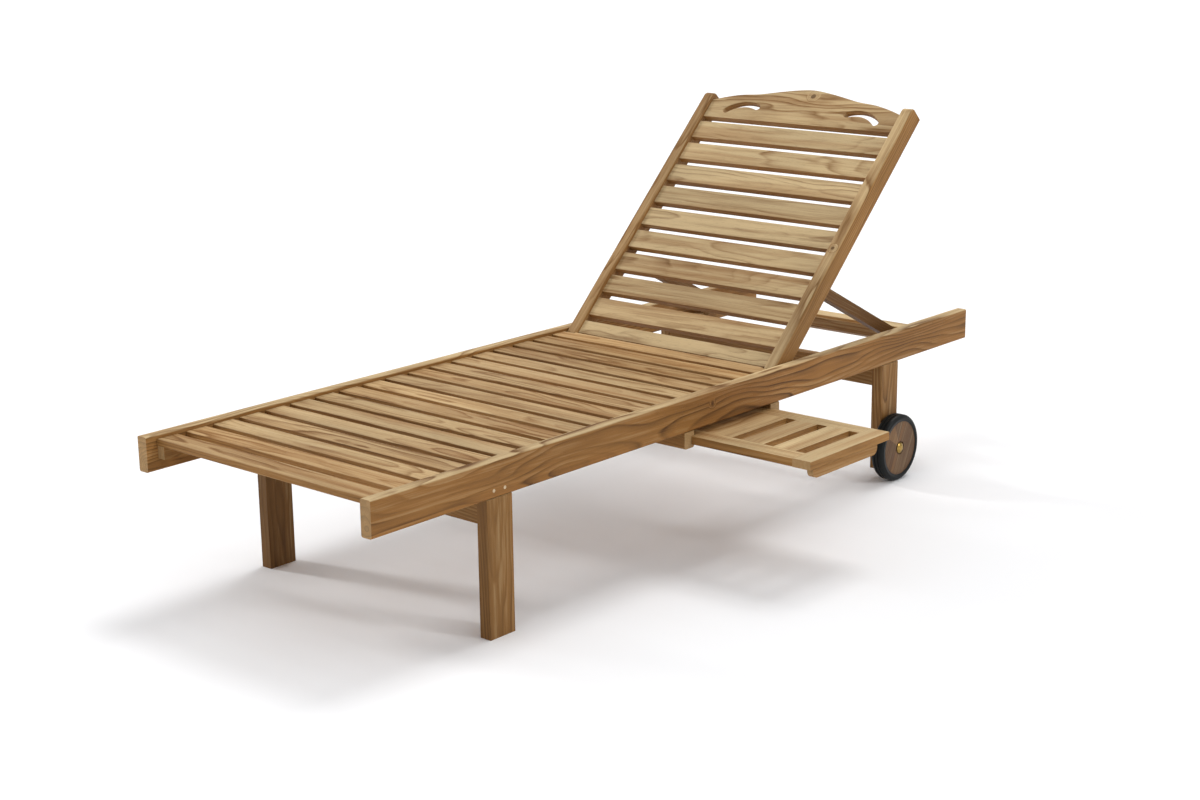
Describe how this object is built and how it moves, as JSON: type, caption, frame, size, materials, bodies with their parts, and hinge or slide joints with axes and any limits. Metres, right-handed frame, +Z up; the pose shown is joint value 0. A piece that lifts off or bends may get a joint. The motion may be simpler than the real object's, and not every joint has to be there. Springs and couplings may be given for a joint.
{
  "type": "sun lounger",
  "caption": "Slatted wooden sun lounger with a reclining back on a hinged prop, a slide-out side tray and wheels at the head end.",
  "frame": {"origin": "on the ground under the middle of the lounger's bounding box, with the tray out and the back raised", "axes": "+Y along the lounger from the foot end to the head end, +X across it towards the side where the tray slides out, +Z up"},
  "size_m": [1.0179, 2, 0.8902],
  "materials": {
    "teak_frame": "satin",
    "teak_seat": "satin",
    "teak_back": "satin",
    "teak_tray": "satin",
    "teak_hub": "satin",
    "pale_peg": "satin",
    "rubber_tyre": "matt",
    "brass_cap": "polished",
    "steel_pin": "brushed"
  },
  "bodies": {
    "frame": {"axle": "steel_pin", "axle_caps": "brass_cap", "front_cross_rail": "teak_frame", "front_leg_left": "teak_frame", "front_leg_right": "teak_frame", "head_slat": "teak_seat", "leg_pegs": "pale_peg", "ratchet_rails": "teak_frame", "rear_cross_rail": "teak_frame", "rear_leg_left": "teak_frame", "rear_leg_right": "teak_frame", "seat_ledgers": "teak_frame", "seat_slat_01": "teak_seat", "seat_slat_02": "teak_seat", "seat_slat_03": "teak_seat", "seat_slat_04": "teak_seat", "seat_slat_05": "teak_seat", "seat_slat_06": "teak_seat", "seat_slat_07": "teak_seat", "seat_slat_08": "teak_seat", "seat_slat_09": "teak_seat", "seat_slat_10": "teak_seat", "seat_slat_11": "teak_seat", "seat_slat_12": "teak_seat", "seat_slat_13": "teak_seat", "seat_slat_14": "teak_seat", "seat_slat_15": "teak_seat", "seat_slat_16": "teak_seat", "seat_slat_17": "teak_seat", "seat_slat_18": "teak_seat", "side_rail_left": "teak_frame", "side_rail_right": "teak_frame", "tray_guide_front": "teak_frame", "tray_guide_rear": "teak_frame"},
    "back": {"back_crown": "teak_back", "back_slat_01": "teak_back", "back_slat_02": "teak_back", "back_slat_03": "teak_back", "back_slat_04": "teak_back", "back_slat_05": "teak_back", "back_slat_06": "teak_back", "back_slat_07": "teak_back", "back_slat_08": "teak_back", "back_slat_09": "teak_back", "back_slat_10": "teak_back", "back_stile_left": "teak_frame", "back_stile_right": "teak_frame", "hinge_pins": "steel_pin"},
    "prop": {"prop_crossbar": "teak_frame", "prop_rod": "teak_frame", "prop_strut_left": "teak_frame", "prop_strut_right": "teak_frame"},
    "tray": {"tray_sides": "teak_tray", "tray_slats": "teak_tray", "tray_lip": "teak_tray"},
    "wheel_left": {"tyre_left": "rubber_tyre", "wheel_hub_left": "teak_hub"},
    "wheel_right": {"tyre_right": "rubber_tyre", "wheel_hub_right": "teak_hub"}
  },
  "joints": [
    {"name": "back_recline", "type": "hinge", "parent": "frame", "child": "back", "pos_m": [-0.132, 0.254, 0.33025], "axis": [1, 0, 0], "range_deg": [-44.2, 15.8]},
    {"name": "prop_swing", "type": "hinge", "parent": "back", "child": "prop", "pos_m": [-0.132, 0.44366, 0.49237], "axis": [1, 0, 0], "range_deg": [-24.7, 69.1]},
    {"name": "tray_slide", "type": "slide", "parent": "frame", "child": "tray", "axis": [1, 0, 0], "range_m": [-0.304, 0]},
    {"name": "wheel_left_spin", "type": "hinge", "parent": "frame", "child": "wheel_left", "pos_m": [-0.489, 0.66, 0.08], "axis": [1, 0, 0], "continuous": true},
    {"name": "wheel_right_spin", "type": "hinge", "parent": "frame", "child": "wheel_right", "pos_m": [0.225, 0.66, 0.08], "axis": [1, 0, 0], "continuous": true}
  ],
  "couplings": [
    {"joint": "prop_swing", "follows": "back_recline", "ratio": -1.5618}
  ]
}
